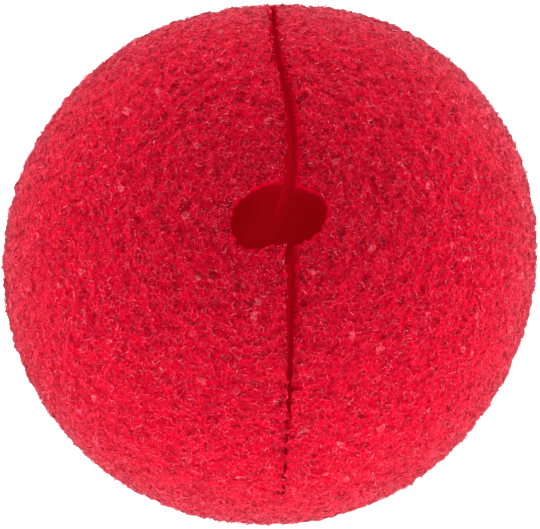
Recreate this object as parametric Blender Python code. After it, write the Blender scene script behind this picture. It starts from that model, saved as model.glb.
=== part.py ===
"""A foam clown nose: a soft ball with a slit that grips the tip of the nose and a hole to breathe through.

The real one is a single piece of red sponge. A ball is ground from the foam, a blade cuts a slit through
the back of it, and a punch drives a hole down the middle of the slit. This script follows the same steps:
one ball, then a blade and a punch taken away from it.

The frame: +Z runs out of the hole, which is the back of the nose, so the round front rests on the table.
The slit lies along Y, and the origin is on the table under the middle of the ball. Lengths are in metres.
"""

import math
from collections import namedtuple

import bmesh
import bpy
from mathutils import Vector

# The ball
BALL_WIDTH = 0.0500  # along X, across the slit
BALL_LENGTH = 0.0488  # along Y, with the slit
BALL_HEIGHT = 0.0492  # along Z, before its weight presses the resting patch flat
REST_WIDTH = 0.0080  # across the patch that the ball rests on
BALL_SUBDIVISIONS = 5  # of the icosphere, for facets about 2 mm long

# The slit
SLIT_DEPTH = 0.0200  # at its deepest, from the ball's surface
SLIT_TILT_DEG = 5.0  # the blade's lean, which makes one end of the slit reach further down than the other
SLIT_END_DEPTH = 0.0012  # where the slit runs out at each end
SLIT_GAP = 0.00075  # between the two cut faces just under the lips, where the slit is widest
SLIT_FLOOR_GAP = 0.00030  # where the two cut faces meet the foam that was left whole
LIP_WIDTH = 0.00090  # of the skin that bends over into the slit where its edge is softest
LIP_DEPTH = 0.00200  # that the bent skin reaches down there
SLIT_STATIONS = 48  # sections along the slit
LIP_STEPS = 4  # sections down a rounded lip
WALL_STEPS = 4  # sections from the lip to the floor

# The hole
HOLE_WIDTH = 0.0090  # along X
HOLE_LENGTH = 0.0062  # along Y
HOLE_DEPTH = 0.0270  # from the ball's top
HOLE_ASIDE = -0.0010  # from the slit to the middle of the hole, along X
HOLE_LIP_WIDTH = 0.00040  # of the skin that bends over into the hole
HOLE_LIP_DEPTH = 0.00060  # that the bent skin reaches down
HOLE_SIDES = 48

CUTTER_OVERRUN = 0.0020  # how far a cutter stands out of what it cuts

FOAM_RED = (0.62, 0.006, 0.028)

# The ball is not quite round. Reach is its outline seen from above, as a share of the plain oval.
Bulge = namedtuple("Bulge", "bearing_deg reach")
BALL_OUTLINE = (
    Bulge(0, 0.999),
    Bulge(30, 1.034),
    Bulge(60, 1.036),
    Bulge(90, 0.998),
    Bulge(120, 1.000),
    Bulge(150, 0.994),
    Bulge(180, 0.999),
    Bulge(210, 1.003),
    Bulge(240, 1.005),
    Bulge(270, 0.996),
    Bulge(300, 0.992),
    Bulge(330, 0.983),
)

# The punch dragged the soft foam, so the hole is a lopsided oval. Reach is a share of the plain oval, and
# falls at 270 degrees where a corner of the left lip stands into the hole.
HOLE_OUTLINE = (
    Bulge(0, 1.00),
    Bulge(30, 1.11),
    Bulge(60, 1.02),
    Bulge(90, 1.03),
    Bulge(120, 0.95),
    Bulge(150, 0.92),
    Bulge(180, 0.92),
    Bulge(210, 1.05),
    Bulge(240, 1.12),
    Bulge(270, 0.80),
    Bulge(300, 0.94),
    Bulge(330, 0.95),
)

# The slit from its lower end at -1 to its upper end at 1. Aside is how far the blade wandered along X and
# gap is the opening, both as shares of SLIT_GAP: the slit gapes round the hole and has closed up again at its
# ends. The lips are shares of the softest lip: the left one on the -X side stayed crisp along the middle, and
# the right one on the +X side is soft there.
Cut = namedtuple("Cut", "along aside gap left_lip right_lip")
SLIT_COURSE = (
    Cut(-1.00, 0.80, 0.12, 0.20, 0.20),
    Cut(-0.75, 0.65, 0.18, 0.15, 0.35),
    Cut(-0.50, 0.40, 0.40, 0.15, 0.80),
    Cut(-0.25, 0.15, 0.92, 0.15, 1.00),
    Cut(0.00, 0.00, 1.30, 0.15, 1.10),
    Cut(0.25, 0.20, 0.95, 0.20, 1.00),
    Cut(0.50, -0.80, 0.60, 0.50, 0.70),
    Cut(0.75, -0.40, 0.28, 0.70, 0.40),
    Cut(1.00, -0.05, 0.15, 0.50, 0.20),
)


def curve_through(before, start, end, after, share):
    """A point between start and end on the smooth curve through four values."""
    slope_in = (end - before) / 2
    slope_out = (after - start) / 2
    bend = 3 * (end - start) - 2 * slope_in - slope_out
    twist = 2 * (start - end) + slope_in + slope_out
    return start + share * (slope_in + share * (bend + share * twist))


def around(outline, bearing):
    """An outline's reach at a bearing in radians, on a smooth closed curve through its rows."""
    place = (bearing / math.tau % 1) * len(outline)
    row = int(place)
    reaches = [outline[k % len(outline)].reach for k in range(row - 1, row + 3)]
    return curve_through(*reaches, place - row)


def along(course, column, share):
    """A column of the slit's table at a share from -1 to 1, on a smooth curve through its rows."""
    last = len(course) - 1
    place = min(max((share + 1) / 2, 0), 1) * last
    row = min(int(place), last - 1)
    values = [getattr(course[min(max(k, 0), last)], column) for k in range(row - 1, row + 3)]
    return curve_through(*values, place - row)


def press_depth():
    """How far the table presses in the ball's underside to make the resting patch."""
    share = REST_WIDTH / ((BALL_WIDTH + BALL_LENGTH) / 2)
    return BALL_HEIGHT / 2 * (1 - math.sqrt(1 - share**2))


def bulged(direction):
    """The ball's surface in a direction from its middle, before the ball is set over the origin."""
    reach = around(BALL_OUTLINE, math.atan2(direction.y, direction.x))
    return Vector(
        (
            direction.x * BALL_WIDTH / 2 * reach,
            direction.y * BALL_LENGTH / 2 * reach,
            direction.z * BALL_HEIGHT / 2,
        )
    )


def ball_middle():
    """Where the ball's middle stands, so that its bulges reach equally far each way from the origin."""
    rim = [bulged(Vector((math.cos(a), math.sin(a), 0))) for a in (math.radians(d) for d in range(360))]
    aside, back = ((max(p[k] for p in rim) + min(p[k] for p in rim)) / 2 for k in (0, 1))
    return Vector((-aside, -back, BALL_HEIGHT / 2 - press_depth()))


MIDDLE = ball_middle()


def in_slit_plane(angle):
    """The direction at an angle from the top of the ball, in the upright plane that the blade went in by."""
    return Vector((0, math.sin(angle), math.cos(angle)))


def slit_reach():
    """Half the angle that the slit spans on the ball, which follows from how deep the blade went."""
    radius = (BALL_LENGTH + BALL_HEIGHT) / 4
    return math.acos((radius - SLIT_DEPTH) / radius)


def collection_named(name):
    made = bpy.data.collections.new(name)
    bpy.context.scene.collection.children.link(made)
    return made


def object_from(mesh_builder, name, collection):
    """Turns a bmesh into a named object whose mesh holds its place."""
    bmesh.ops.recalc_face_normals(mesh_builder, faces=mesh_builder.faces[:])
    mesh = bpy.data.meshes.new(name)
    mesh_builder.to_mesh(mesh)
    mesh_builder.free()
    made = bpy.data.objects.new(name, mesh)
    collection.objects.link(made)
    return made


def make_ball(collection):
    """The ball of foam, pressed flat where it rests."""
    bm = bmesh.new()
    bmesh.ops.create_icosphere(bm, subdivisions=BALL_SUBDIVISIONS, radius=1)
    for vertex in bm.verts:
        vertex.co = MIDDLE + bulged(vertex.co.normalized())
    kept = bmesh.ops.bisect_plane(
        bm,
        geom=bm.verts[:] + bm.edges[:] + bm.faces[:],
        plane_co=(0, 0, 0),
        plane_no=(0, 0, -1),
        clear_outer=True,
    )
    corners = [item for item in kept["geom_cut"] if isinstance(item, bmesh.types.BMVert)]
    bmesh.ops.remove_doubles(bm, verts=corners, dist=REST_WIDTH / 12)
    bmesh.ops.holes_fill(bm, edges=bm.edges[:], sides=0)
    return object_from(bm, "foam_ball", collection)


def make_blade(collection):
    """The blade's path: a thin sheet that widens into rounded lips where it leaves the ball.

    A flat grid is doubled into a thin slab. Its first direction becomes the angle along the slit, its second
    the depth, and its two sides become the two cut faces.
    """
    rows = LIP_STEPS + WALL_STEPS + 2
    bm = bmesh.new()
    bmesh.ops.create_grid(bm, x_segments=SLIT_STATIONS, y_segments=rows - 1, size=1)
    doubled = bmesh.ops.extrude_face_region(bm, geom=bm.faces[:])
    right_side = {item for item in doubled["geom"] if isinstance(item, bmesh.types.BMVert)}
    tilt = math.radians(SLIT_TILT_DEG)
    reach = slit_reach()
    for vertex in bm.verts:
        share = vertex.co.x
        level = round((1 - vertex.co.y) / 2 * (rows - 1))
        skin = bulged(in_slit_plane(tilt + share * reach))
        floor_depth = skin.length * (1 - math.cos(reach) / math.cos(share * reach))
        side = 1 if vertex in right_side else -1
        depth, half_gap = wall_section(share, level, side, max(floor_depth, SLIT_END_DEPTH))
        inward = 1 - depth / skin.length
        vertex.co = MIDDLE + skin * inward
        vertex.co.x += SLIT_GAP * along(SLIT_COURSE, "aside", share) * inward + side * half_gap
    return object_from(bm, "slit_cutter", collection)


def wall_section(share, level, side, floor_depth):
    """(depth under the skin, half of the gap) at a level of the slit, which counts down from above the skin."""
    gap = SLIT_GAP * along(SLIT_COURSE, "gap", share)
    lip = along(SLIT_COURSE, "right_lip" if side > 0 else "left_lip", share)
    if level == 0:
        return -CUTTER_OVERRUN, gap / 2 + lip * LIP_WIDTH
    depth, aside = lip_section(lip * LIP_WIDTH, lip * LIP_DEPTH, min((level - 1) / LIP_STEPS, 1))
    down = max(level - 1 - LIP_STEPS, 0) / WALL_STEPS
    return depth + (floor_depth - lip * LIP_DEPTH) * down, gap / 2 + aside + (SLIT_FLOOR_GAP - gap) / 2 * down


def lip_section(width, deep, share):
    """(depth under the skin, distance out from the wall) at a share of the way down a rounded lip."""
    turn = share * math.pi / 2
    return deep * (1 - math.cos(turn)), width * (1 - math.sin(turn))


def skin_height(across, back):
    """How high the top of the ball stands over a place near its middle."""
    rim = (across / (BALL_WIDTH / 2)) ** 2 + (back / (BALL_LENGTH / 2)) ** 2
    return BALL_HEIGHT / 2 * math.sqrt(1 - rim)


def make_punch(collection):
    """The punch that made the hole: an oval post, a little lopsided, that flares where it leaves the ball.

    It starts as a globe. The globe's poles become the middles of the post's two ends, and its rings the end of
    the hole, the sections of the rounded lip and the flare above the skin.
    """
    levels = LIP_STEPS + 4
    bm = bmesh.new()
    bmesh.ops.create_uvsphere(bm, u_segments=HOLE_SIDES, v_segments=levels, radius=1)
    for vertex in bm.verts:
        level = round((1 - math.acos(min(max(vertex.co.z, -1), 1)) / math.pi) * levels)
        vertex.co = punch_place(math.atan2(vertex.co.y, vertex.co.x), level, levels)
    return object_from(bm, "hole_cutter", collection)


def punch_place(bearing, level, levels):
    """A point on the punch, at a bearing and a level that counts up from the bottom of the hole."""
    spread = 0 if level in (0, levels) else around(HOLE_OUTLINE, bearing)
    lip_share = min(max(levels - 2 - level, 0) / LIP_STEPS, 1)
    depth, aside = lip_section(HOLE_LIP_WIDTH, HOLE_LIP_DEPTH, lip_share)
    across = HOLE_ASIDE + math.cos(bearing) * spread * (HOLE_WIDTH / 2 + aside)
    back = math.sin(bearing) * spread * (HOLE_LENGTH / 2 + aside)
    if level <= 1:
        return MIDDLE + Vector((across, back, BALL_HEIGHT / 2 - HOLE_DEPTH))
    if level >= levels - 1:
        return MIDDLE + Vector((across, back, BALL_HEIGHT / 2 + CUTTER_OVERRUN))
    return MIDDLE + Vector((across, back, skin_height(across, back) - depth))


def cut_away(solid, cutter):
    """Takes a cutter's shape out of a solid, and keeps the cutter as a wire guide."""
    cutter.display_type = "WIRE"
    cutter.hide_render = True
    cut = solid.modifiers.new(cutter.name, "BOOLEAN")
    cut.operation = "DIFFERENCE"
    cut.solver = "EXACT"
    cut.object = cutter


def foam_material():
    material = bpy.data.materials.new("red_foam")
    material.use_nodes = True
    shader = material.node_tree.nodes["Principled BSDF"]
    shader.inputs["Base Color"].default_value = (*FOAM_RED, 1)
    shader.inputs["Roughness"].default_value = 0.95
    shader.inputs["Metallic"].default_value = 0.0
    return material


def main():
    for leftover in list(bpy.data.objects):
        bpy.data.objects.remove(leftover)
    nose = collection_named("clown_nose")
    cutters = collection_named("cutters")
    ball = make_ball(nose)
    ball.data.materials.append(foam_material())
    cut_away(ball, make_blade(cutters))
    cut_away(ball, make_punch(cutters))
    ball.data.shade_smooth()
    ball.data.set_sharp_from_angle(angle=math.radians(40))


main()
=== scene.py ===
# %% [markdown]
# # A clown nose of soft red foam
#
# The real object is one ball of open-cell foam, 50 mm across. A knife has slit it down the
# middle, so that it opens like a mouth to take the nose, and a punch has left a hole to breathe
# through. Everything that makes it look like foam is small: cells under half a millimetre, the
# thin struts between them, a torn film here and there, and fibres that stand up at the edge.
#
# The CAD model has the ball, the slit and the hole as one solid. This lesson dresses that solid.
# It grows a net of irregular cells on the ball, cuts the net with the CAD solid, presses a pit
# into each cell, and then lays loose struts and stubs over it. Colour and light come last.
# The sizes of the grain, the colours and the lamps were found by comparing renders to the photo.

# %% The tools and the frame
import math
import random

import bmesh
import bpy
import numpy as np
from mathutils import Matrix, Vector, noise
from mathutils.bvhtree import BVHTree
from mathutils.kdtree import KDTree


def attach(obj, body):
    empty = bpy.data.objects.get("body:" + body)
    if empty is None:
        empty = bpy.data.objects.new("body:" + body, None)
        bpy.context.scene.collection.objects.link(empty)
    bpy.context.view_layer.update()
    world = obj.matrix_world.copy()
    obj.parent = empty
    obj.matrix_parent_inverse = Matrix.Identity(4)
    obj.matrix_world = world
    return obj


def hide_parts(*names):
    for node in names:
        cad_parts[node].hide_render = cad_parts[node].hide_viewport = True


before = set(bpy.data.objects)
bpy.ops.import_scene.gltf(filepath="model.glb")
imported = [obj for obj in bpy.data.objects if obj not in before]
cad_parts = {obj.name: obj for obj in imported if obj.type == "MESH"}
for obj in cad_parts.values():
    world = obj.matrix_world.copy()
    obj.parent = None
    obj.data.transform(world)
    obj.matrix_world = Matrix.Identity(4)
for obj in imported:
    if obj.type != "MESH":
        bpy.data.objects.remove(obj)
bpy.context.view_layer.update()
cad_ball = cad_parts["foam_ball"]

# %% [markdown]
# ## Sizes
#
# Blender measures in metres, and foam in tenths of a millimetre, so every size is written as a
# number of MM. The draws of random and of the nodes are seeded. One thing is not: noise_vector,
# which makes the lips ragged, takes its seed from the clock, because noise.seed_set is never
# called. So the lips, and with them the pattern of the grain, change from run to run.

# %% The sizes of the foam's grain
MM = 0.001
CELL = 0.40 * MM           # least distance between the middles of two cells of the skin
SKIN_DEPTH = 0.10 * MM     # how far the net of cells lies under the ball's outline
SKIN_WANDER = 0.10 * MM    # how far a corner of the net moves in or out at random
LUMP = 0.44 * MM           # height of the lumps that run over several cells
LUMP_WAVE = 0.80 * MM
draw = random.Random(11)
print("cell", CELL / MM, "mm, skin depth", SKIN_DEPTH / MM, "mm")

# %% [markdown]
# ## The ball before it was cut
#
# The net of cells has to follow the ball as if the slit and the hole weren't there, and be cut
# afterwards, as real foam is. The CAD solid already has the cuts. Its convex hull closes them,
# and the ball is plump everywhere, so the hull is the uncut ball. The CAD mesh is loose
# triangles, so a copy of it is merged first.

# %% The uncut ball, from the hull of the CAD solid
def merged_solid():
    """A copy of the CAD solid with its loose triangles joined."""
    bm = bmesh.new()
    bm.from_mesh(cad_ball.data)
    bmesh.ops.remove_doubles(bm, verts=bm.verts[:], dist=0.001 * MM)
    return bm


def uncut_ball():
    """The convex hull of the CAD solid: the ball without its slit and hole."""
    bm = merged_solid()
    hull = bmesh.ops.convex_hull(bm, input=bm.verts[:])
    buried = [item for item in hull["geom_interior"] if isinstance(item, bmesh.types.BMVert)]
    bmesh.ops.delete(bm, geom=buried, context="VERTS")
    spare = [item for item in hull["geom_unused"] + hull["geom_holes"] if item.is_valid]
    spare_faces = [item for item in spare if isinstance(item, bmesh.types.BMFace)]
    bmesh.ops.delete(bm, geom=spare_faces, context="FACES")
    return bm


hull = uncut_ball()
lowest = Vector(min(vert.co[axis] for vert in hull.verts) for axis in range(3))
highest = Vector(max(vert.co[axis] for vert in hull.verts) for axis in range(3))
BALL_MIDDLE = (lowest + highest) / 2
BALL_RADIUS = (highest.x - lowest.x) / 2
ball_surface = BVHTree.FromBMesh(hull)
print("uncut ball:", len(hull.faces), "faces, radius", round(BALL_RADIUS / MM, 2), "mm")

# %% [markdown]
# ## A globe of irregular cells
#
# Foam cells are many-sided, all about one size, and never in rows. Blender has no such grid, but
# four Geometry Nodes make one. Poisson scattering puts points on a globe so that no two are
# closer than a cell. Their convex hull is a net of triangles, and its dual mesh turns each point
# into a cell with about six sides. It is quick, and its corners meet in threes, as foam's do.

# %% Helpers for objects and node groups
def object_from(bm, name):
    """Put a finished bmesh in the scene as an object."""
    mesh = bpy.data.meshes.new(name)
    bm.to_mesh(mesh)
    bm.free()
    made = bpy.data.objects.new(name, mesh)
    bpy.context.scene.collection.objects.link(made)
    return made


def geometry_group(name):
    """An empty Geometry Nodes group with its way in and its way out."""
    group = bpy.data.node_groups.new(name, "GeometryNodeTree")
    group.interface.new_socket("Geometry", in_out="INPUT", socket_type="NodeSocketGeometry")
    group.interface.new_socket("Geometry", in_out="OUTPUT", socket_type="NodeSocketGeometry")
    way_in = group.nodes.new("NodeGroupInput").outputs[0]
    way_out = group.nodes.new("NodeGroupOutput").inputs[0]
    return group, way_in, way_out


def through(source, group):
    """The mesh that a node group makes of a mesh, without keeping the object it ran on."""
    carrier = bpy.data.objects.new(group.name, source)
    bpy.context.scene.collection.objects.link(carrier)
    carrier.modifiers.new(group.name, "NODES").node_group = group
    return mesh_of(carrier)


def mesh_of(carrier):
    """An object's mesh with its modifiers applied. The object itself is removed."""
    graph = bpy.context.evaluated_depsgraph_get()
    worked = carrier.evaluated_get(graph)
    mesh = bpy.data.meshes.new_from_object(worked, preserve_all_data_layers=True, depsgraph=graph)
    bpy.data.objects.remove(carrier)
    return mesh


print("helpers ready")


# %% The globe of cells
DENSEST = 14000            # points on the globe's unit area, before Poisson scattering thins them


def cell_globe(cell, seed):
    """A globe of radius 1, covered with irregular cells that are cell apart on the real ball."""
    bm = bmesh.new()
    bmesh.ops.create_icosphere(bm, subdivisions=5, radius=1)
    round_mesh = bpy.data.meshes.new("globe")
    bm.to_mesh(round_mesh)
    bm.free()
    group, way_in, way_out = geometry_group("cells")
    nodes, link = group.nodes, group.links.new
    scatter = nodes.new("GeometryNodeDistributePointsOnFaces")
    scatter.distribute_method = "POISSON"
    scatter.inputs["Distance Min"].default_value = cell / BALL_RADIUS
    scatter.inputs["Density Max"].default_value = DENSEST
    scatter.inputs["Seed"].default_value = seed
    position = nodes.new("GeometryNodeInputPosition")
    direction = nodes.new("ShaderNodeVectorMath")
    direction.operation = "NORMALIZE"
    place = nodes.new("GeometryNodeSetPosition")
    net = nodes.new("GeometryNodeConvexHull")
    cells = nodes.new("GeometryNodeDualMesh")
    link(way_in, scatter.inputs["Mesh"])
    link(scatter.outputs["Points"], place.inputs["Geometry"])
    link(position.outputs[0], direction.inputs[0])
    link(direction.outputs[0], place.inputs["Position"])
    link(place.outputs[0], net.inputs[0])
    link(net.outputs[0], cells.inputs[0])
    link(cells.outputs[0], way_out)
    return through(round_mesh, group)


def laid_on_ball(globe, depth):
    """Pull each corner of a globe in to the uncut ball, so that it lies depth under its outline."""
    bm = bmesh.new()
    bm.from_mesh(globe)
    for vert in bm.verts:
        direction = vert.co.normalized()
        far = ball_surface.ray_cast(BALL_MIDDLE, direction)[3]
        vert.co = BALL_MIDDLE + direction * (far - depth)
    bmesh.ops.recalc_face_normals(bm, faces=bm.faces[:])
    return bm


skin_net = laid_on_ball(cell_globe(CELL, seed=5), SKIN_DEPTH)
print("net of", len(skin_net.faces), "cells with", len(skin_net.verts), "corners")

# %% [markdown]
# ## The slit and the hole
#
# A Boolean modifier keeps what the net and the CAD solid share. The slit and the hole then have
# the exact walls of the CAD, and cells that the knife met are cut through, as on the real ball.
# With its material mode on transfer, each face keeps the material of the mesh it came from, and
# that tells the skin (0) from the cut walls (1) in the steps that follow.

# %% Cut the net with the CAD solid
SKIN, WALL = 0, 1


def cut_net(net):
    """The net of cells, closed by the walls of the slit and the hole."""
    whole = object_from(net, "whole_net")
    whole.data.materials.append(bpy.data.materials.new("mark_skin"))
    cutter = object_from(merged_solid(), "cutter")
    cutter.data.materials.clear()
    cutter.data.materials.append(bpy.data.materials.new("mark_wall"))
    cut = whole.modifiers.new("cut", "BOOLEAN")
    cut.operation = "INTERSECT"
    cut.solver = "EXACT"
    cut.material_mode = "TRANSFER"
    cut.object = cutter
    bm = bmesh.new()
    bm.from_mesh(mesh_of(whole))
    bpy.data.objects.remove(cutter)
    return bm


foam = cut_net(skin_net)
print("skin faces", sum(face.material_index == SKIN for face in foam.faces))
print("wall faces", sum(face.material_index == WALL for face in foam.faces))

# %% [markdown]
# ## Lips with a grain
#
# The walls come from the CAD in long smooth strips. Deep inside they are dark, and nobody sees
# more of them. The first two millimetres are the lips, and there the grain of the foam has to go
# on. Long edges are split until no lip face is wider than a cell or so, then the faces are made
# even, and their corners are moved a little at random.

# %% Split the lips into small faces
LIP_REACH = 2.2 * MM       # how deep the grain of the lips goes
LIP_CELL = 0.55 * MM       # longest edge that is left on a lip
LIP_WANDER = 0.05 * MM
SPLIT_ROUNDS = 6


def under_skin(point):
    """How far a point lies under the outline of the uncut ball."""
    return ball_surface.find_nearest(point)[3]


def lip_faces(bm):
    """The wall faces that reach up to the lips."""
    walls = [face for face in bm.faces if face.material_index == WALL]
    return [face for face in walls if min(under_skin(vert.co) for vert in face.verts) < LIP_REACH]


def inner_edges(bm, faces):
    """The edges of some faces that have only wall faces on both sides, in the mesh's order."""
    wanted = set(faces)
    touching = [edge for edge in bm.edges if not wanted.isdisjoint(edge.link_faces)]
    return [edge for edge in touching if all(side.material_index == WALL for side in edge.link_faces)]


for turn in range(SPLIT_ROUNDS):
    long_edges = [edge for edge in inner_edges(foam, lip_faces(foam)) if edge.calc_length() > LIP_CELL]
    if not long_edges:
        break
    bmesh.ops.subdivide_edges(foam, edges=long_edges, cuts=1)
    many_sided = [face for face in foam.faces if face.material_index == WALL and len(face.verts) > 3]
    bmesh.ops.triangulate(foam, faces=many_sided, quad_method="BEAUTY", ngon_method="BEAUTY")
lips = lip_faces(foam)
print("lip faces after splitting:", len(lips))

# %% Even out the lips and roughen them
FLAT_BEND = 0.2            # radians: an edge that bends less may be turned

turnable = [edge for edge in inner_edges(foam, lips) if edge.calc_face_angle(0) < FLAT_BEND]
bmesh.ops.beautify_fill(foam, faces=lips, edges=turnable)
lips = lip_faces(foam)
bmesh.ops.join_triangles(foam, faces=lips, angle_face_threshold=0.3, angle_shape_threshold=0.9)
print("faces in all:", len(foam.faces))

# %% [markdown]
# ## Lumps and ragged lips
#
# The outline of a foam ball is never a clean line. Lumps about as wide as two cells stand out
# and sink in, and where the knife went through, the lips are ragged. Perlin noise from
# mathutils gives both: neighbours get nearly the same shift, so the mesh bends and doesn't tear.
# The lips' shift fades out a little way from them, found with a tree of the lips' own corners.

# %% Shift the corners
RAGGED = 0.50 * MM         # how far the lips stray from the knife's line
RAGGED_WAVE = 0.48 * MM
RAGGED_FADE = 1.3 * MM     # distance from the lips at which the straying ends


def lumped(point):
    """A point of the ball's surface, moved in or out with the lumps, but not into the floor."""
    outwards = (point - BALL_MIDDLE).normalized()
    moved = point + outwards * LUMP * noise.noise(point / LUMP_WAVE)
    moved.z = max(moved.z, 0)
    return moved


def lip_tree(bm):
    """A tree of the corners where skin and wall meet."""
    corners = [vert.co for vert in bm.verts if len({face.material_index for face in vert.link_faces}) == 2]
    tree = KDTree(len(corners))
    for place, corner in enumerate(corners):
        tree.insert(corner, place)
    tree.balance()
    return tree


lip_corners = lip_tree(foam)
for vert in foam.verts:
    on_skin = any(face.material_index == SKIN for face in vert.link_faces)
    if not on_skin and under_skin(vert.co) > LIP_REACH:
        continue
    straying = max(0, 1 - lip_corners.find(vert.co)[2] / RAGGED_FADE)
    shift = noise.noise_vector(vert.co / RAGGED_WAVE) * RAGGED * straying
    if on_skin:
        shift += (vert.co - BALL_MIDDLE).normalized() * draw.uniform(-1, 1) * SKIN_WANDER
        vert.co = lumped(vert.co) + shift
    else:
        wander = Vector((draw.uniform(-1, 1), draw.uniform(-1, 1), draw.uniform(-1, 1)))
        vert.co += shift + wander * LIP_WANDER
    vert.co.z = max(vert.co.z, 0)
print("corners shifted, lips", RAGGED / MM, "mm, lumps", LUMP / MM, "mm")

# %% Keep the open net for the stubs
REST_CLEAR = 0.5 * MM      # nothing stands proud lower than this over the floor

open_net = foam.copy()
covered = [face for face in open_net.faces
           if face.material_index == WALL or face.calc_center_median().z < REST_CLEAR]
bmesh.ops.delete(open_net, geom=covered, context="FACES")
print("open net:", len(open_net.faces), "cells")

# %% [markdown]
# ## A pit in every cell
#
# A cell at the surface is open: its rim is the net, and its middle goes down into the dark.
# Poke puts a point in the middle of a face and joins it to the corners, and moving that point
# inwards makes the pit. A few cells keep their film, as foam does, and those stay nearly flat.
# Three attributes go with the mesh for the materials: pit is near 1 at the bottom of a pit and 0
# at its rim, film says how pale a cell's film is, and deep says how far down a wall a point is.

# %% Press the pits
PIT_SHARE = (0.05, 0.17)   # depth of a pit, as a share of its cell's width
LIP_PIT_SHARE = 0.60       # the pits of the lips are this much shallower
FILM_CHANCE = 0.009
FILM_BULGE = 0.06          # a film stands this share of its cell's width proud
SMALLEST_CELL = 0.12 * MM  # narrower slivers, which the knife left, get no pit

pit = foam.verts.layers.float.new("pit")
deep = foam.verts.layers.float.new("deep")
film = foam.faces.layers.float.new("film")
wide = [face for face in foam.faces if face.calc_area() > SMALLEST_CELL ** 2]
open_cells = [face for face in wide if face.material_index == SKIN] + [
    face for face in lip_faces(foam) if face.calc_area() > SMALLEST_CELL ** 2]
poked = bmesh.ops.poke(foam, faces=open_cells, offset=0, center_mode="MEAN_WEIGHTED")
foam.normal_update()
for middle in poked["verts"]:
    width = math.sqrt(sum(face.calc_area() for face in middle.link_faces))
    on_lip = middle.link_faces[0].material_index == WALL
    depth = width * draw.uniform(*PIT_SHARE) * (LIP_PIT_SHARE if on_lip else 1)
    middle[pit] = draw.uniform(0.6, 1.0)
    if draw.random() < FILM_CHANCE and not on_lip:
        depth = -width * FILM_BULGE
        middle[pit] = 0
        paleness = draw.uniform(0.2, 0.8)
        for face in middle.link_faces:
            face[film] = paleness
    middle.co -= middle.normal * depth
print("pits:", len(poked["verts"]))

# %% How deep each point of the walls lies
DEEP_WALL = 5.0 * MM       # from here down the walls have their inside colour

for vert in foam.verts:
    if any(face.material_index == WALL for face in vert.link_faces):
        vert[deep] = min(1, under_skin(vert.co) / DEEP_WALL)
foam_skin = object_from(foam, "foam_ball_skin")
skin_triangles = sum(len(face.vertices) - 2 for face in foam_skin.data.polygons)
print("foam skin:", skin_triangles, "triangles")

# %% [markdown]
# ## Loose struts
#
# Foam is a net in depth: one looks through the open cells at struts further down, and sees
# others that lie across the pits. A second net with smaller cells and another seed gives their
# places. Only some of its edges are kept. Each becomes a short curve with a bend in it, thicker
# in the middle than at its ends, and Curve to Mesh gives it three sides. An attribute, lit,
# holds how pale each of its ends is, because some struts catch the light and most don't.
#
# Three sides and one bend are 14 triangles. There are tens of thousands of struts, so that is
# all a strut may cost. They are made as four pieces, a quarter of the ball each.

# %% The net that carries the struts
STRUT_CELL = 0.36 * MM
STRUT_DEPTH = 0.05 * MM
STRUT_WANDER = 0.06 * MM   # how far a strut's end moves in or out at random
STRUT_REACH = 0.20 * MM    # how far a strut may reach out over a cut

solid = merged_solid()
solid_surface = BVHTree.FromBMesh(solid)
solid.free()


def over_a_cut(vert):
    """Whether a point of the uncut ball hangs over the slit or the hole, away from their lips."""
    nearest, normal = solid_surface.find_nearest(vert.co)[:2]
    return (vert.co - nearest).dot(normal) > STRUT_REACH


strut_net = laid_on_ball(cell_globe(STRUT_CELL, seed=8), STRUT_DEPTH)
hanging = [vert for vert in strut_net.verts if over_a_cut(vert) or vert.co.z < REST_CLEAR]
bmesh.ops.delete(strut_net, geom=hanging, context="VERTS")
for vert in strut_net.verts:
    outwards = (vert.co - BALL_MIDDLE).normalized()
    vert.co = lumped(vert.co) + outwards * draw.uniform(-1, 1) * STRUT_WANDER
strut_lines = bpy.data.meshes.new("strut_lines")
strut_net.to_mesh(strut_lines)
print("strut net:", len(strut_net.edges), "edges,", len(hanging), "corners over the cuts removed")
strut_net.free()

# %% The node group that turns edges into struts
STRUT_SHARE = 0.44         # share of the edges that become struts
STRUT_THICK = 0.085 * MM
STRUT_BEND = 0.06 * MM
STRUT_TIP = 0.45           # radius at a strut's ends, as a share of the nominal one
STRUT_SWELL = 2.6          # a share t along it, the radius gains this times t (1 - t)


def random_value(group, low, high, seed, kind="FLOAT"):
    """A random number or vector for each point or edge."""
    value = group.nodes.new("FunctionNodeRandomValue")
    value.data_type = kind
    sockets = {"FLOAT": (2, 3, 1), "FLOAT_VECTOR": (0, 1, 0)}[kind]
    value.inputs[sockets[0]].default_value = low
    value.inputs[sockets[1]].default_value = high
    value.inputs["Seed"].default_value = seed
    return value.outputs[sockets[2]]


def calculated(group, operation, first, second):
    """One sum on two sockets or numbers."""
    step = group.nodes.new("ShaderNodeMath")
    step.operation = operation
    for socket, value in zip(step.inputs, (first, second)):
        if isinstance(value, (int, float)):
            socket.default_value = value
        else:
            group.links.new(value, socket)
    return step.outputs[0]


def in_quarter(group, sign_x, sign_y):
    """Whether an edge lies in one quarter of the ball, seen from above."""
    position = group.nodes.new("GeometryNodeInputPosition")
    parts = group.nodes.new("ShaderNodeSeparateXYZ")
    group.links.new(position.outputs[0], parts.inputs[0])
    on_side_x = calculated(group, "GREATER_THAN", calculated(group, "MULTIPLY", parts.outputs[0], sign_x), 0)
    on_side_y = calculated(group, "GREATER_THAN", calculated(group, "MULTIPLY", parts.outputs[1], sign_y), 0)
    return calculated(group, "MULTIPLY", on_side_x, on_side_y)


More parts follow.
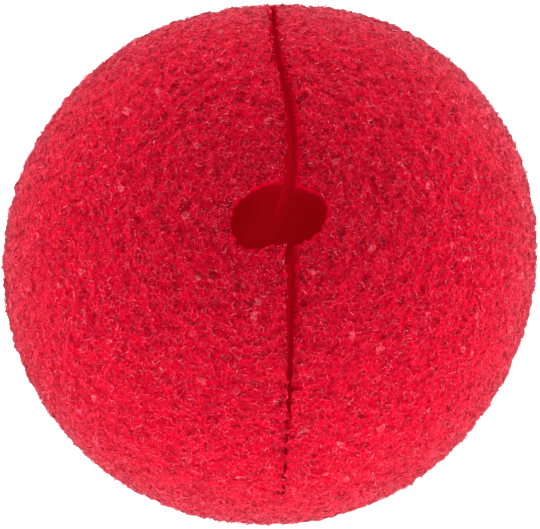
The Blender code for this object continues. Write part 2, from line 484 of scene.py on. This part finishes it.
def strut_group(name, sign_x, sign_y):
    """Edges of the net in one quarter, picked at random and given three sides."""
    group, way_in, way_out = geometry_group(name)
    nodes, link = group.nodes, group.links.new
    lucky = calculated(group, "LESS_THAN", random_value(group, 0, 1, seed=3), STRUT_SHARE)
    picked = calculated(group, "MULTIPLY", lucky, in_quarter(group, sign_x, sign_y))
    lines = nodes.new("GeometryNodeMeshToCurve")
    halves = nodes.new("GeometryNodeSubdivideCurve")
    bend = nodes.new("GeometryNodeSetPosition")
    paleness = nodes.new("GeometryNodeStoreNamedAttribute")
    paleness.domain = "POINT"
    paleness.inputs["Name"].default_value = "lit"
    radius = nodes.new("GeometryNodeSetCurveRadius")
    along = nodes.new("GeometryNodeSplineParameter")
    profile = nodes.new("GeometryNodeCurvePrimitiveCircle")
    profile.inputs["Resolution"].default_value = 3
    profile.inputs["Radius"].default_value = STRUT_THICK / 2
    tube = nodes.new("GeometryNodeCurveToMesh")
    tube.inputs["Fill Caps"].default_value = True
    link(way_in, lines.inputs["Mesh"])
    link(picked, lines.inputs["Selection"])
    link(lines.outputs[0], paleness.inputs["Geometry"])
    link(random_value(group, 0, 1, seed=6), paleness.inputs["Value"])
    link(paleness.outputs[0], halves.inputs["Curve"])
    link(halves.outputs[0], bend.inputs["Geometry"])
    aside = random_value(group, (-STRUT_BEND,) * 3, (STRUT_BEND,) * 3, seed=4, kind="FLOAT_VECTOR")
    link(aside, bend.inputs["Offset"])
    link(bend.outputs[0], radius.inputs["Curve"])
    from_end = calculated(group, "SUBTRACT", 1, along.outputs["Factor"])
    arch = calculated(group, "MULTIPLY", along.outputs["Factor"], from_end)
    bulge = calculated(group, "MULTIPLY", arch, STRUT_SWELL)
    swelling = calculated(group, "ADD", bulge, STRUT_TIP)
    width = random_value(group, 0.7, 1.3, seed=7)
    link(calculated(group, "MULTIPLY", swelling, width), radius.inputs["Radius"])
    link(radius.outputs[0], tube.inputs["Curve"])
    link(profile.outputs[0], tube.inputs["Profile Curve"])
    link(tube.outputs[0], way_out)
    return group


print("strut nodes ready")

# %% Four quarters of struts
QUARTERS = {
    "struts_right_back": (1, 1),
    "struts_left_back": (-1, 1),
    "struts_left_front": (-1, -1),
    "struts_right_front": (1, -1),
}


def piece_from(mesh, name):
    """Put a mesh that nodes have made in the scene as a piece."""
    mesh.name = name
    mesh.materials.clear()
    piece = bpy.data.objects.new(name, mesh)
    bpy.context.scene.collection.objects.link(piece)
    triangles = sum(len(face.vertices) - 2 for face in mesh.polygons)
    print(name, triangles, "triangles, attributes", [layer.name for layer in mesh.attributes][:8])
    return piece


struts = [piece_from(through(strut_lines, strut_group(name, *side)), name) for name, side in QUARTERS.items()]

# %% [markdown]
# ## Stubs that stand up
#
# Where a cell was torn open, the end of a strut stands up from the surface. Seen from straight
# above, a stub is a speck. Round the edge of the ball the stubs are seen from the side, close
# together, and help to make the pale soft fringe of the photo. A stub is a cone with three
# sides, four triangles in all. It is drawn once, and Geometry Nodes set it on points of the
# skin, each tilted and sized at random. The flat spot that the ball rests on has none.

# %% Scatter the stubs
STUB_GAP = 0.38 * MM       # least distance between two stubs
STUB_HEIGHT = 0.24 * MM
STUB_FOOT = 0.045 * MM     # radius of a stub's foot
STUB_TILT = 0.60           # radians


def stub_group():
    """Cones with three sides, standing on the ball's skin."""
    group, way_in, way_out = geometry_group("stubs")
    nodes, link = group.nodes, group.links.new
    scatter = nodes.new("GeometryNodeDistributePointsOnFaces")
    scatter.distribute_method = "POISSON"
    scatter.inputs["Distance Min"].default_value = STUB_GAP
    scatter.inputs["Density Max"].default_value = 0.6 / STUB_GAP ** 2 * 8
    scatter.inputs["Seed"].default_value = 12
    cone = nodes.new("GeometryNodeMeshCone")
    cone.inputs["Vertices"].default_value = 3
    cone.inputs["Radius Top"].default_value = 0
    cone.inputs["Radius Bottom"].default_value = STUB_FOOT
    cone.inputs["Depth"].default_value = STUB_HEIGHT
    tilt = nodes.new("FunctionNodeRotateRotation")
    tilt.rotation_space = "LOCAL"
    turn = nodes.new("FunctionNodeEulerToRotation")
    stand = nodes.new("GeometryNodeInstanceOnPoints")
    paleness = nodes.new("GeometryNodeStoreNamedAttribute")
    paleness.domain = "INSTANCE"
    paleness.inputs["Name"].default_value = "lit"
    real = nodes.new("GeometryNodeRealizeInstances")
    link(way_in, scatter.inputs["Mesh"])
    link(scatter.outputs["Points"], stand.inputs["Points"])
    link(cone.outputs["Mesh"], stand.inputs["Instance"])
    link(scatter.outputs["Rotation"], tilt.inputs["Rotation"])
    swing = random_value(group, (-STUB_TILT, -STUB_TILT, -3), (STUB_TILT, STUB_TILT, 3), seed=9,
                         kind="FLOAT_VECTOR")
    link(swing, turn.inputs[0])
    link(turn.outputs[0], tilt.inputs["Rotate By"])
    link(tilt.outputs[0], stand.inputs["Rotation"])
    link(random_value(group, 0.5, 1.3, seed=10), stand.inputs["Scale"])
    link(stand.outputs[0], paleness.inputs["Geometry"])
    link(random_value(group, 0, 1, seed=13), paleness.inputs["Value"])
    link(paleness.outputs[0], real.inputs[0])
    link(real.outputs[0], way_out)
    return group


stub_ground = bpy.data.meshes.new("stub_ground")
open_net.to_mesh(stub_ground)
open_net.free()
stubs = piece_from(through(stub_ground, stub_group()), "stubs")

# %% [markdown]
# ## The red of the skin
#
# The foam is dyed through with a strong cool red. The pits are painted a darker red than the
# rims, as painted shade, and groups of rims a paler pink, as painted highlight. A film is pink,
# because it scatters light before it reaches the dye. Three patterns on Object coordinates add
# what is too fine to model. A slow noise makes patches of slightly more and less red. A warped
# Voronoi draws the threads of still smaller cells, and some of them get a painted highlight
# of pink here and there. A fast noise is the speckle inside a cell. The same threads feed a
# Bump node.
#
# Towards the edge of the ball the foam goes pale and pink. A pink sheen stands in for the many
# thin struts that the light grazes there. Foam also lets light through, so its grain is shaded
# more evenly than a solid's. The shading normal is turned most of the way towards the way out of
# the ball to stand in for that.

# %% Helpers for materials
def new_material(name, roughness, specular):
    """A Principled material with the values that are the same all over it."""
    material = bpy.data.materials.new(name)
    material.use_nodes = True
    shader = material.node_tree.nodes["Principled BSDF"]
    shader.inputs["Roughness"].default_value = roughness
    shader.inputs["Specular IOR Level"].default_value = specular
    return material, shader


def attribute_value(tree, name):
    """A number that the mesh carries under a name."""
    reader = tree.nodes.new("ShaderNodeAttribute")
    reader.attribute_name = name
    return reader.outputs["Fac"]


def colour_between(tree, share, first, second):
    """A colour between two, each a colour or a socket."""
    mix = tree.nodes.new("ShaderNodeMix")
    mix.data_type = "RGBA"
    tree.links.new(share, mix.inputs[0])
    for socket, colour in ((mix.inputs[6], first), (mix.inputs[7], second)):
        if isinstance(colour, tuple):
            socket.default_value = (*colour, 1)
        else:
            tree.links.new(colour, socket)
    return mix.outputs[2]


def ranged(tree, value, start, stop, low, high):
    """Stretch a value, so that start becomes low and stop becomes high."""
    step = tree.nodes.new("ShaderNodeMapRange")
    for name, number in zip(("From Min", "From Max", "To Min", "To Max"), (start, stop, low, high)):
        step.inputs[name].default_value = number
    tree.links.new(value, step.inputs["Value"])
    return step.outputs[0]


def noise_on(tree, place, size, detail):
    """Noise whose blobs are about size across."""
    texture = tree.nodes.new("ShaderNodeTexNoise")
    texture.inputs["Scale"].default_value = 1 / size
    texture.inputs["Detail"].default_value = detail
    tree.links.new(place, texture.inputs["Vector"])
    return texture


def soft_normal(tree, place, share):
    """The mesh's normal, turned by a share towards the way out of the ball."""
    way_out = tree.nodes.new("ShaderNodeVectorMath")
    way_out.operation = "SUBTRACT"
    tree.links.new(place, way_out.inputs[0])
    way_out.inputs[1].default_value = BALL_MIDDLE
    unit = tree.nodes.new("ShaderNodeVectorMath")
    unit.operation = "NORMALIZE"
    tree.links.new(way_out.outputs[0], unit.inputs[0])
    in_world = tree.nodes.new("ShaderNodeVectorTransform")
    in_world.vector_type = "NORMAL"
    in_world.convert_from = "OBJECT"
    in_world.convert_to = "WORLD"
    tree.links.new(unit.outputs[0], in_world.inputs[0])
    mix = tree.nodes.new("ShaderNodeMix")
    mix.data_type = "VECTOR"
    mix.inputs[0].default_value = share
    tree.links.new(tree.nodes.new("ShaderNodeNewGeometry").outputs["Normal"], mix.inputs[4])
    tree.links.new(in_world.outputs[0], mix.inputs[5])
    return mix.outputs[1]


def darker_or_lighter(tree, colour, factor):
    """A colour times a number."""
    scale = tree.nodes.new("ShaderNodeVectorMath")
    scale.operation = "SCALE"
    tree.links.new(colour, scale.inputs[0])
    tree.links.new(factor, scale.inputs["Scale"])
    return scale.outputs[0]


print("material helpers ready")

# %% The skin's material
RIM_RED = (0.555, 0.0011, 0.022)
# painted shade: the pits are a darker red than the rims
PIT_SHADE_RED = (0.490, 0.0004, 0.012)
FILM_PINK = (0.80, 0.15, 0.19)
# painted highlight: the pink of rims that catch the light
RIM_HIGHLIGHT_PINK = (0.90, 0.075, 0.13)
# painted highlight: the pink of threads that catch the light
THREAD_HIGHLIGHT_PINK = (0.85, 0.090, 0.15)
PATCH = 1.4 * MM           # width of the patches of more and less red
SPECKLE = 0.14 * MM
SOFT = 0.86                # share by which foam's see-through walls even out its shading
RIM_CLUSTER = 0.8 * MM     # rims that catch the light stand in groups about this wide
FILM_TEAR = 0.18 * MM
SHEEN = 0.95
SHEEN_PINK = (1, 0.42, 0.50, 1)
SHEEN_WIDTH = 0.25         # the sheen's roughness
BUMP_HEIGHT = 0.04 * MM
THREAD_CELL = 0.28 * MM
THREAD_WAVE = 0.35 * MM    # width of the push that makes the threads waver
THREAD_CLUSTER = 0.45 * MM  # threads that are lit stand in groups about this wide
THREAD_WARP = 0.20         # how far the threads' pattern is pushed about, in threads' cells


def thread_pattern(tree, place):
    """Thin wavering lines round small cells, lit here and there."""
    push = noise_on(tree, place, THREAD_WAVE, 1)
    centred = tree.nodes.new("ShaderNodeVectorMath")
    centred.operation = "MULTIPLY_ADD"
    tree.links.new(push.outputs["Color"], centred.inputs[0])
    centred.inputs[1].default_value = (2 * THREAD_WARP * THREAD_CELL,) * 3
    tree.links.new(place, centred.inputs[2])
    cells = tree.nodes.new("ShaderNodeTexVoronoi")
    cells.feature = "DISTANCE_TO_EDGE"
    cells.inputs["Scale"].default_value = 1 / THREAD_CELL
    tree.links.new(centred.outputs[0], cells.inputs["Vector"])
    line = ranged(tree, cells.outputs["Distance"], 0.02, 0.16, 1, 0)
    lit_here = ranged(tree, noise_on(tree, place, THREAD_CLUSTER, 1).outputs["Fac"], 0.46, 0.68, 0, 1)
    return line, calculated(tree, "MULTIPLY", line, lit_here)


def foam_material():
    """Dyed foam: rims, pits with painted shade, films, patches, threads, speckle, painted highlights."""
    material, shader = new_material("red_foam", roughness=0.85, specular=0.01)
    shader.inputs["Subsurface Weight"].default_value = 0.55
    shader.inputs["Subsurface Radius"].default_value = (1, 0.04, 0.10)
    shader.inputs["Subsurface Scale"].default_value = 0.35 * MM
    shader.inputs["Sheen Weight"].default_value = SHEEN
    shader.inputs["Sheen Roughness"].default_value = SHEEN_WIDTH
    shader.inputs["Sheen Tint"].default_value = SHEEN_PINK
    tree = material.node_tree
    place = tree.nodes.new("ShaderNodeTexCoord").outputs["Object"]
    pit_share = attribute_value(tree, "pit")
    # painted shade: darker towards the bottom of each pit
    colour = colour_between(tree, pit_share, RIM_RED, PIT_SHADE_RED)
    patches = ranged(tree, noise_on(tree, place, PATCH, 3).outputs["Fac"], 0.3, 0.7, 0.95, 1.05)
    speckle = ranged(tree, noise_on(tree, place, SPECKLE, 2).outputs["Fac"], 0.3, 0.7, 0.90, 1.08)
    colour = darker_or_lighter(tree, colour, calculated(tree, "MULTIPLY", patches, speckle))
    rim = ranged(tree, pit_share, 0.02, 0.17, 1, 0)
    # painted highlight: pink on groups of rims
    caught = ranged(tree, noise_on(tree, place, RIM_CLUSTER, 3).outputs["Fac"], 0.48, 0.68, 0, 0.42)
    colour = colour_between(tree, calculated(tree, "MULTIPLY", rim, caught), colour, RIM_HIGHLIGHT_PINK)
    line, lit_line = thread_pattern(tree, place)
    # painted highlight: pink on some threads
    colour = colour_between(tree, calculated(tree, "MULTIPLY", lit_line, 0.18), colour, THREAD_HIGHLIGHT_PINK)
    torn = ranged(tree, noise_on(tree, place, FILM_TEAR, 1).outputs["Fac"], 0.38, 0.58, 0, 1)
    veil = calculated(tree, "MULTIPLY", attribute_value(tree, "film"), torn)
    colour = colour_between(tree, veil, colour, FILM_PINK)
    tree.links.new(colour, shader.inputs["Base Color"])
    bump = tree.nodes.new("ShaderNodeBump")
    bump.inputs["Strength"].default_value = 0.5
    bump.inputs["Distance"].default_value = BUMP_HEIGHT
    tree.links.new(soft_normal(tree, place, SOFT), bump.inputs["Normal"])
    tree.links.new(line, bump.inputs["Height"])
    tree.links.new(bump.outputs[0], shader.inputs["Normal"])
    return material


foam_skin.data.materials.append(foam_material())
print("skin material with", len(foam_skin.data.materials[SKIN].node_tree.nodes), "nodes")

# %% [markdown]
# ## The cut walls
#
# Down in the slit and the hole nearly all the light has come through the foam or from wall to
# wall, and each time the dye has taken more of its green and blue. So the walls look flat and
# pure dark red, and that dark red is painted shade. Light through foam is slow to render. A
# painted red glow of the walls stands in for it. It starts below the lips. In the photo the slit
# is brighter than the hole, so it glows more.

# %% The walls' material
LIP_RED = (0.50, 0.0010, 0.016)
# painted shade: this colour and the next make the walls darker than the lips
SHADED_RED = (0.22, 0.0006, 0.005)
INSIDE_SHADE_RED = (0.30, 0.0006, 0.004)
# painted glow: this colour and the next stand in for light that comes through the foam
HOLE_GLOW = (0.60, 0.0020, 0.0095)
SLIT_GLOW = (1.0, 0.0045, 0.022)   # brighter than the hole, to match the photo
NO_GLOW = (0, 0, 0)
GLOW = 0.265
HOLE_END = 2.2 * MM        # the hole's reach along the slit, each way from the top of the ball
SHADED_SHARE = 0.50        # where the wall is darkest, as a share of DEEP_WALL


def wall_material():
    """Foam inside the cuts: painted shade and glow below the lips, grain fading from the lips down."""
    material, shader = new_material("cut_foam", roughness=1, specular=0)
    shader.inputs["Emission Strength"].default_value = GLOW
    tree = material.node_tree
    place = tree.nodes.new("ShaderNodeTexCoord").outputs["Object"]
    deep_share = attribute_value(tree, "deep")
    below_lip = ranged(tree, deep_share, 0, SHADED_SHARE, 0, 1)
    further_in = ranged(tree, deep_share, SHADED_SHARE, 1, 0, 1)
    parts = tree.nodes.new("ShaderNodeSeparateXYZ")
    tree.links.new(place, parts.inputs[0])
    along = calculated(tree, "ABSOLUTE", parts.outputs["Y"], 0)
    out_of_hole = ranged(tree, along, HOLE_END, 2 * HOLE_END, 0, 1)
    # painted glow: light through the foam, stronger in the slit than in the hole
    glow = colour_between(tree, out_of_hole, HOLE_GLOW, SLIT_GLOW)
    tree.links.new(colour_between(tree, below_lip, NO_GLOW, glow), shader.inputs["Emission Color"])
    # painted shade: the walls go darker from the lips down
    colour = colour_between(tree, below_lip, LIP_RED, SHADED_RED)
    colour = colour_between(tree, further_in, colour, INSIDE_SHADE_RED)
    speckle = ranged(tree, noise_on(tree, place, SPECKLE * 1.5, 2).outputs["Fac"], 0.3, 0.7, 0.85, 1.1)
    plain = colour
    grained = darker_or_lighter(tree, colour, speckle)
    fading = ranged(tree, deep_share, 0, 0.8, 0, 1)
    tree.links.new(colour_between(tree, fading, grained, plain), shader.inputs["Base Color"])
    return material


foam_skin.data.materials.append(wall_material())
print("materials of the skin:", [material.name for material in foam_skin.data.materials])

# %% [markdown]
# ## The struts
#
# A strut is a hair of the same foam. Most are as red as the rims. Some turn a smooth side to
# the light, and their pink is a painted highlight. The attribute lit goes from 0 to 1, evenly,
# and raising it to a power leaves only a few pale ones.

# %% The struts' material
STRUT_RED = (0.61, 0.0016, 0.026)
# painted highlight: the pink of struts that catch the light
STRUT_HIGHLIGHT_PINK = (0.97, 0.18, 0.25)
STRUT_POWER = 3.4
STUB_RED = (0.72, 0.012, 0.040)
# painted highlight: the pink of stubs that catch the light
STUB_HIGHLIGHT_PINK = (0.97, 0.17, 0.23)
STUB_POWER = 1.0
STRUT_SHEEN = 0.50
CLUSTER = 0.9 * MM         # struts that catch the light stand in clusters about this wide


def strut_material(name, red, highlight_pink, power):
    """Red to a painted-highlight pink, strut by strut, and paler in some places than in others."""
    material, shader = new_material(name, roughness=0.6, specular=0.01)
    shader.inputs["Sheen Weight"].default_value = STRUT_SHEEN
    shader.inputs["Sheen Roughness"].default_value = SHEEN_WIDTH
    shader.inputs["Sheen Tint"].default_value = SHEEN_PINK
    tree = material.node_tree
    place = tree.nodes.new("ShaderNodeTexCoord").outputs["Object"]
    tree.links.new(soft_normal(tree, place, SOFT), shader.inputs["Normal"])
    cluster = ranged(tree, noise_on(tree, place, CLUSTER, 2).outputs["Fac"], 0.35, 0.65, 0.45, 1.45)
    # painted highlight: how far each strut or stub goes to pink
    paleness = calculated(tree, "POWER", attribute_value(tree, "lit"), power)
    paleness = calculated(tree, "MULTIPLY", paleness, cluster)
    colour = colour_between(tree, paleness, red, highlight_pink)
    speckle = ranged(tree, noise_on(tree, place, SPECKLE, 2).outputs["Fac"], 0.3, 0.7, 0.85, 1.12)
    tree.links.new(darker_or_lighter(tree, colour, speckle), shader.inputs["Base Color"])
    return material


strut_finish = strut_material("foam_strut", STRUT_RED, STRUT_HIGHLIGHT_PINK, STRUT_POWER)
for piece in struts:
    piece.data.materials.append(strut_finish)
stubs.data.materials.append(strut_material("foam_fibre", STUB_RED, STUB_HIGHLIGHT_PINK, STUB_POWER))
print("struts in", strut_finish.name, "and stubs in", stubs.data.materials[0].name)

# %% [markdown]
# ## A map for baking
#
# When the model leaves Blender, its node colours are baked onto an image, and that needs a UV
# map without big stretches. The ball is mapped as a globe in a box: each face goes to the side
# of the box that it looks at, and the angle from the ball's middle gives its place, so all six
# tiles are nearly even. The walls of the cuts are flat enough to be pressed straight onto six
# smaller tiles. The map is worked out for all corners at once with numpy.

# %% Lay out the bake map
BAKE_MAP = "OFBake"
TILE = 1 / 3               # a tile's side, as a share of the map
TILE_FILL = 0.43           # share of a tile's side from its middle to the edge of what it holds
GLOBE_REACH = 1.15         # largest angle over 45 degrees that a tile holds
WALL_SPAN = 58 * MM        # what a wall tile holds from side to side


def corner_table(mesh):
    """Each corner's point, and the middle and normal of its face."""
    points = np.empty(len(mesh.vertices) * 3)
    mesh.vertices.foreach_get("co", points)
    vertex_of = np.empty(len(mesh.loops), dtype=int)
    mesh.loops.foreach_get("vertex_index", vertex_of)
    sides = np.empty(len(mesh.polygons), dtype=int)
    mesh.polygons.foreach_get("loop_total", sides)
    middles = np.empty(len(mesh.polygons) * 3)
    mesh.polygons.foreach_get("center", middles)
    normals = np.empty(len(mesh.polygons) * 3)
    mesh.polygons.foreach_get("normal", normals)
    kinds = np.empty(len(mesh.polygons), dtype=int)
    mesh.polygons.foreach_get("material_index", kinds)
    face_of = np.repeat(np.arange(len(sides)), sides)
    corners = points.reshape(-1, 3)[vertex_of]
    return corners, middles.reshape(-1, 3)[face_of], normals.reshape(-1, 3)[face_of], kinds[face_of]


def box_side(directions):
    """For each direction the axis it follows most, and whether it goes down that axis."""
    axis = np.abs(directions).argmax(axis=1)
    backwards = np.take_along_axis(directions, axis[:, None], axis=1)[:, 0] < 0
    return axis, backwards


def lay_out_for_baking(piece):
    """Give a piece its bake map."""
    corners, middles, normals, kinds = corner_table(piece.data)
    centre = np.array(BALL_MIDDLE)
    axis, backwards = box_side(middles - centre)
    rays = corners - centre
    ahead = np.abs(np.take_along_axis(rays, axis[:, None], axis=1)[:, 0])
    across = np.take_along_axis(rays, ((axis + 1) % 3)[:, None], axis=1)[:, 0]
    upwards = np.take_along_axis(rays, ((axis + 2) % 3)[:, None], axis=1)[:, 0]
    quarter_turn = math.pi / 4 * GLOBE_REACH
    u = np.arctan2(across, ahead) / quarter_turn * TILE_FILL
    v = np.arctan2(upwards, ahead) / quarter_turn * TILE_FILL
    map_u = (axis + 0.5 + u) * TILE
    map_v = (backwards + 0.5 + v) * TILE
    wall_axis, wall_backwards = box_side(normals)
    wall_across = np.take_along_axis(rays, ((wall_axis + 1) % 3)[:, None], axis=1)[:, 0]
    wall_upwards = np.take_along_axis(rays, ((wall_axis + 2) % 3)[:, None], axis=1)[:, 0]
    wall_u = (wall_axis + 0.5 + wall_across / WALL_SPAN) * TILE
    wall_v = 2 * TILE + (wall_backwards + 0.5 + wall_upwards / WALL_SPAN) * TILE / 2
    on_wall = kinds == WALL
    placed = np.stack([np.where(on_wall, wall_u, map_u), np.where(on_wall, wall_v, map_v)], axis=1)
    layer = piece.data.uv_layers.new(name=BAKE_MAP)
    layer.data.foreach_set("uv", placed.astype(np.float32).ravel())
    print(piece.name, "map from", placed.min(axis=0).round(3), "to", placed.max(axis=0).round(3))


pieces = [foam_skin] + struts + [stubs]
for piece in pieces:
    lay_out_for_baking(piece)

# %% [markdown]
# ## Onto the frame
#
# The nose has no joint, so every piece rides on the one body, root. The dressed skin stands for
# the CAD ball. It is soft and filled through.

# %% Tell the frame what the pieces are
for piece in pieces:
    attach(piece, "root")
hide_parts("foam_ball")
print("pieces:", [piece.name for piece in pieces])

# %% [markdown]
# ## Table and light
#
# The photo was taken on a lit white table in a white tent, straight down on the slit. Little
# light comes from beside the lens. Most comes from the sides, so the edge of the ball is
# brighter than its middle, and the side at the lower right is brighter than the upper left.
# The floor glows a little, as such a table does, and shows no shadow. The world is a tent that
# is much brighter near the horizon than overhead. Three soft lamps add to it, and the strongest
# stands at the lower right.

# %% The floor
FLOOR_GLOW = 0.45


def white_table():
    """A wide white floor that is lit from below."""
    bm = bmesh.new()
    bmesh.ops.create_grid(bm, x_segments=1, y_segments=1, size=3)
    table = object_from(bm, "white_table")
    material, shader = new_material("white_board", roughness=0.9, specular=0.1)
    shader.inputs["Base Color"].default_value = (0.95, 0.95, 0.95, 1)
    shader.inputs["Emission Color"].default_value = (1, 1, 1, 1)
    shader.inputs["Emission Strength"].default_value = FLOOR_GLOW
    table.data.materials.append(material)
    return table


white_table()
print("floor ready")

# %% The tent
HORIZON_LIGHT = 7.2
ZENITH_LIGHT = 0.44
HORIZON_POWER = 3          # how closely the light keeps to the horizon


def tent_light():
    """A world that is brighter at the sides than overhead."""
    world = bpy.data.worlds.new("tent")
    world.use_nodes = True
    tree = world.node_tree
    direction = tree.nodes.new("ShaderNodeTexCoord").outputs["Generated"]
    parts = tree.nodes.new("ShaderNodeSeparateXYZ")
    tree.links.new(direction, parts.inputs[0])
    lowness = ranged(tree, parts.outputs["Z"], 0, 1, 1, 0)
    near_horizon = calculated(tree, "POWER", lowness, HORIZON_POWER)
    strength = ranged(tree, near_horizon, 0, 1, ZENITH_LIGHT, HORIZON_LIGHT)
    tree.links.new(strength, tree.nodes["Background"].inputs["Strength"])
    tree.nodes["Background"].inputs["Color"].default_value = (1, 1, 1, 1)
    return world


bpy.context.scene.world = tent_light()
print("tent: horizon", HORIZON_LIGHT, "zenith", ZENITH_LIGHT)

# %% The lamps
LAMP_FAR = 0.6


def turned_to_ball(place, up):
    """A matrix at a place that looks at the middle of the ball."""
    back = (place - BALL_MIDDLE).normalized()
    right = up.cross(back).normalized()
    look = Matrix((right, back.cross(right), back)).transposed().to_4x4()
    look.translation = place
    return look


def soft_lamp(name, direction, size, power):
    """A round soft lamp that shines at the ball."""
    light = bpy.data.lights.new(name, "AREA")
    light.shape = "DISK"
    light.size = size
    light.energy = power
    lamp = bpy.data.objects.new(name, light)
    lamp.matrix_world = turned_to_ball(BALL_MIDDLE + direction.normalized() * LAMP_FAR, Vector((0, 1, 0)))
    bpy.context.scene.collection.objects.link(lamp)
    return lamp


soft_lamp("side_lamp", Vector((0.60, -0.60, 0.50)), size=0.45, power=0.9)
soft_lamp("top_lamp", Vector((0.10, -0.10, 1.0)), size=0.35, power=0.25)
soft_lamp("left_lamp", Vector((-1.0, 0.05, 0.10)), size=0.45, power=0.25)

# %% [markdown]
# ## The camera
#
# The photo looks down on the slit from a little to the left and in front. The direction was
# found from where the hole stands off the middle of the outline. A long lens from far away
# keeps the ball's outline nearly as wide as the ball, as in the photo.

# %% The camera
VIEW = Vector((-0.0687, -0.181, 0.981)).normalized()
CAMERA_FAR = 0.70
SENSOR = 36.0
PHOTO_WIDTH = 540          # pixels
BALL_IN_VIEW = 532         # pixels: 535 in the photo, less what lumps and struts add
FIELD = 2 * BALL_RADIUS * PHOTO_WIDTH / BALL_IN_VIEW

camera_data = bpy.data.cameras.new("camera")
camera_data.sensor_width = SENSOR
camera_data.lens = SENSOR * CAMERA_FAR / FIELD
camera = bpy.data.objects.new("camera", camera_data)
camera.matrix_world = turned_to_ball(BALL_MIDDLE + VIEW * CAMERA_FAR, Vector((0, 1, 0)))
bpy.context.scene.collection.objects.link(camera)
bpy.context.scene.camera = camera
bpy.context.scene.view_settings.view_transform = "Standard"
print("lens", round(camera_data.lens, 1), "mm")
